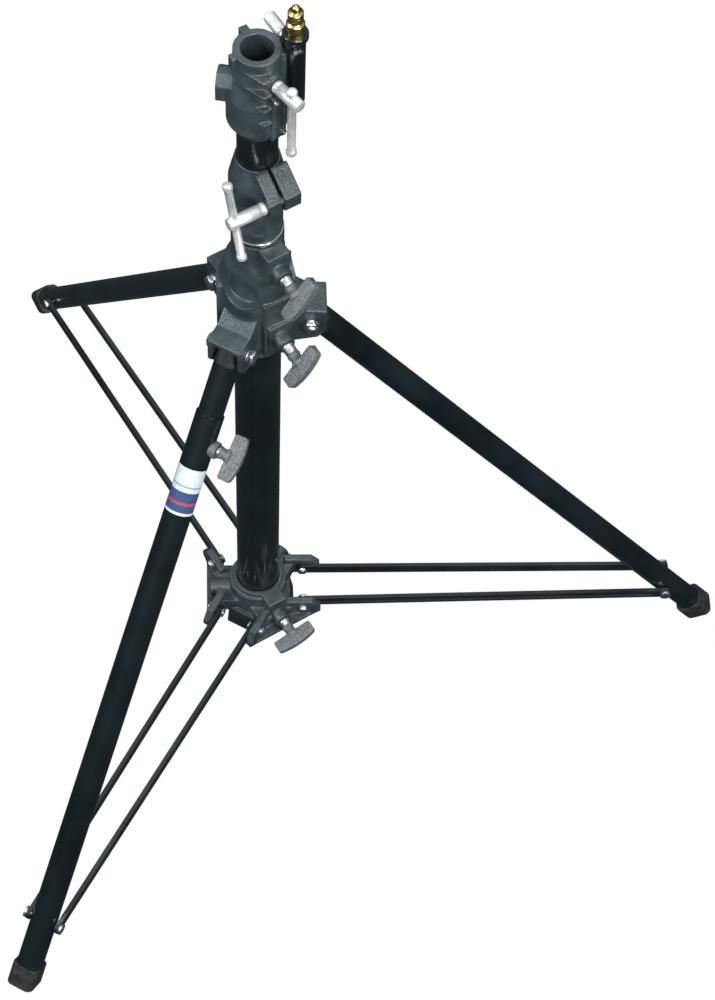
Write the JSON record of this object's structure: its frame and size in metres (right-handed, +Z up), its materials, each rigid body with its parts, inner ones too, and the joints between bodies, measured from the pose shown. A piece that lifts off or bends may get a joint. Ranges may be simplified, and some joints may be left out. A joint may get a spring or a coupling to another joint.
{
  "type": "lighting stand",
  "caption": "Folding lighting stand with a cast hub, spreader and braces, telescopic risers, clamp knobs, a levelling leg and a head with an open socket and a side spigot.",
  "frame": {"origin": "on the column's axis at floor level, legs open, risers down", "axes": "+Z up the column; -Y towards the levelling leg; +X to its right seen from above with the levelling leg pointing down the page"},
  "size_m": [0.9018, 0.7831, 1.03],
  "materials": {
    "black_casting": "black crinkle powder coat on cast aluminium",
    "black_tube": "satin to gloss black on steel tube",
    "chrome_ring": "polished",
    "black_plastic": "moulded",
    "shoe_plastic": "moulded, hidden inside",
    "steel_bolts": "zinc plated",
    "bright_handle": "nickel plated",
    "brass_pin": "turned",
    "knob_plastic": "fine leather grain",
    "foot_rubber": "matt",
    "brace_paint": "black powder coat",
    "label_print": "printed, plain colour blocks"
  },
  "bodies": {
    "stand_base": {"hub_casting": "black_casting", "column_tube": "black_tube", "column_top_ring": "chrome_ring", "column_end_cap": "black_plastic", "column_top_bush": "black_plastic", "riser_lock_shoe": "shoe_plastic", "hub_lock_shoe": "shoe_plastic", "leg_pivot_bolts": "steel_bolts"},
    "riser_1": {"riser1_tube": "black_tube", "riser1_foot_bush": "black_plastic", "riser1_top_bush": "black_plastic", "collar_casting": "black_casting"},
    "riser_2": {"riser2_foot_bush": "black_plastic"},
    "head": {"riser2_tube": "black_tube", "head_casting": "black_casting", "head_set_screws": "steel_bolts", "side_tube": "black_tube", "side_tube_ring": "black_tube", "side_tube_rivets": "steel_bolts", "spigot": "brass_pin"},
    "head_handle_screw": {"head_screw": "bright_handle"},
    "head_handle_bar": {"head_tommy_bar": "bright_handle"},
    "collar_handle_screw": {"collar_screw": "bright_handle"},
    "collar_handle_bar": {"collar_tommy_bar": "bright_handle"},
    "spigot_clamp": {"spigot_screw": "bright_handle"},
    "riser_lock_knob": {"riser_lock_wing": "knob_plastic", "riser_lock_screw": "steel_bolts"},
    "hub_lock_knob": {"hub_lock_wing": "knob_plastic", "hub_lock_screw": "steel_bolts"},
    "spreader_lock_knob": {"spreader_lock_wing": "knob_plastic", "spreader_lock_screw": "steel_bolts"},
    "level_lock_knob": {"level_lock_wing": "knob_plastic", "level_lock_screw": "steel_bolts"},
    "spreader": {"spreader_casting": "black_casting", "spreader_bolts": "steel_bolts", "spreader_lock_shoe": "shoe_plastic"},
    "front_brace_pivot": {"front_spreader_bolts": "steel_bolts"},
    "right_leg": {"right_leg_tube": "black_tube", "right_leg_cap": "black_plastic", "right_foot": "foot_rubber"},
    "left_leg": {"left_leg_tube": "black_tube", "left_leg_cap": "black_plastic", "left_foot": "foot_rubber"},
    "front_pivot": {"front_leg_pivot_bolt": "steel_bolts"},
    "front_leg": {"front_leg_inner_tube": "black_tube", "front_leg_cap": "black_plastic"},
    "front_lower_leg": {"front_leg_outer_tube": "black_tube", "front_foot": "foot_rubber", "level_lock_boss": "knob_plastic", "leg_label": "label_print"},
    "right_braces": {"right_brace_near": "brace_paint", "right_brace_far": "brace_paint", "right_brace_leg_bolt": "steel_bolts"},
    "left_braces": {"left_brace_near": "brace_paint", "left_brace_far": "brace_paint", "left_brace_leg_bolt": "steel_bolts"},
    "front_braces": {"front_brace_near": "brace_paint", "front_brace_far": "brace_paint", "front_brace_leg_bolt": "steel_bolts"}
  },
  "joints": [
    {"name": "spreader_slide", "type": "slide", "parent": "stand_base", "child": "spreader", "axis": [0, 0, 1], "range_m": [0, 0.26825]},
    {"name": "right_leg_fold", "type": "hinge", "parent": "stand_base", "child": "right_leg", "pos_m": [0.04295, 0.0248, 0.6012], "axis": [-0.5, 0.866, 0], "range_deg": [0, 35.05]},
    {"name": "right_brace_fold", "type": "hinge", "parent": "spreader", "child": "right_braces", "pos_m": [0.04295, 0.0248, 0.06787], "axis": [-0.5, 0.866, 0], "range_deg": [0, 86.41]},
    {"name": "left_leg_fold", "type": "hinge", "parent": "stand_base", "child": "left_leg", "pos_m": [-0.04295, 0.0248, 0.6012], "axis": [-0.5, -0.866, 0], "range_deg": [0, 35.05]},
    {"name": "left_brace_fold", "type": "hinge", "parent": "spreader", "child": "left_braces", "pos_m": [-0.04295, 0.0248, 0.06787], "axis": [-0.5, -0.866, 0], "range_deg": [0, 86.41]},
    {"name": "front_leg_fold", "type": "hinge", "parent": "stand_base", "child": "front_pivot", "pos_m": [0, -0.0496, 0.6012], "axis": [1, 0, 0], "range_deg": [0, 35.05]},
    {"name": "front_leg_tilt", "type": "hinge", "parent": "front_pivot", "child": "front_leg", "pos_m": [0, -0.0496, 0.6012], "axis": [1, 0, 0], "range_deg": [0, 7.52]},
    {"name": "level_slide", "type": "slide", "parent": "front_leg", "child": "front_lower_leg", "axis": [0, 0.6046, 0.7966], "range_m": [-0.1, 0]},
    {"name": "front_brace_fold", "type": "hinge", "parent": "spreader", "child": "front_brace_pivot", "pos_m": [0, -0.0496, 0.06787], "axis": [1, 0, 0], "range_deg": [0, 86.41]},
    {"name": "front_brace_drop", "type": "hinge", "parent": "front_brace_pivot", "child": "front_braces", "pos_m": [0, -0.0496, 0.06787], "axis": [1, 0, 0], "range_deg": [0, 19.52]},
    {"name": "riser1_slide", "type": "slide", "parent": "stand_base", "child": "riser_1", "axis": [0, 0, 1], "range_m": [0, 0.55]},
    {"name": "riser2_slide", "type": "slide", "parent": "riser_1", "child": "riser_2", "axis": [0, 0, 1], "range_m": [0, 0.6]},
    {"name": "head_swivel", "type": "hinge", "parent": "riser_2", "child": "head", "pos_m": [0, 0, 0.899], "axis": [0, 0, 1], "continuous": true},
    {"name": "riser_lock_turn", "type": "hinge", "parent": "stand_base", "child": "riser_lock_knob", "pos_m": [0.04157, -0.024, 0.709], "axis": [0.866, -0.5, 0], "range_deg": [0, 270]},
    {"name": "hub_lock_turn", "type": "hinge", "parent": "stand_base", "child": "hub_lock_knob", "pos_m": [0.04677, -0.027, 0.609], "axis": [0.866, -0.5, 0], "range_deg": [0, 270]},
    {"name": "spreader_lock_turn", "type": "hinge", "parent": "spreader", "child": "spreader_lock_knob", "pos_m": [0.04763, -0.0275, 0.07087], "axis": [0.866, -0.5, 0], "range_deg": [0, 270]},
    {"name": "level_lock_turn", "type": "hinge", "parent": "front_lower_leg", "child": "level_lock_knob", "pos_m": [0.0185, -0.11127, 0.51995], "axis": [1, 0, 0], "range_deg": [0, 270]},
    {"name": "collar_screw_turn", "type": "hinge", "parent": "riser_1", "child": "collar_handle_screw", "pos_m": [0.03204, -0.0185, 0.8127], "axis": [0.5, 0.866, 0], "range_deg": [0, 270]},
    {"name": "collar_bar_slide", "type": "slide", "parent": "collar_handle_screw", "child": "collar_handle_bar", "axis": [-0.2575, 0.1487, 0.9548], "range_m": [-0.029, 0.029]},
    {"name": "head_screw_turn", "type": "hinge", "parent": "head", "child": "head_handle_screw", "pos_m": [0.02236, -0.00814, 0.952], "axis": [0.9397, -0.342, 0], "range_deg": [0, 270]},
    {"name": "head_bar_slide", "type": "slide", "parent": "head_handle_screw", "child": "head_handle_bar", "axis": [0, 0, 1], "range_m": [0, 0.0596]},
    {"name": "spigot_screw_turn", "type": "hinge", "parent": "head", "child": "spigot_clamp", "pos_m": [0.00632, 0.02765, 0.976], "axis": [-0.866, 0.5, 0], "range_deg": [0, 270]}
  ],
  "couplings": [
    {"joint": "right_leg_fold", "follows": "spreader_slide", "rad_per_m": 2.2771},
    {"joint": "right_brace_fold", "follows": "spreader_slide", "rad_per_m": 5.6189},
    {"joint": "left_leg_fold", "follows": "spreader_slide", "rad_per_m": 2.2771},
    {"joint": "left_brace_fold", "follows": "spreader_slide", "rad_per_m": 5.6189},
    {"joint": "front_leg_fold", "follows": "spreader_slide", "rad_per_m": 2.2771},
    {"joint": "front_leg_tilt", "follows": "level_slide", "rad_per_m": -1.3032},
    {"joint": "front_brace_fold", "follows": "spreader_slide", "rad_per_m": 5.6189},
    {"joint": "front_brace_drop", "follows": "level_slide", "rad_per_m": -3.398}
  ]
}
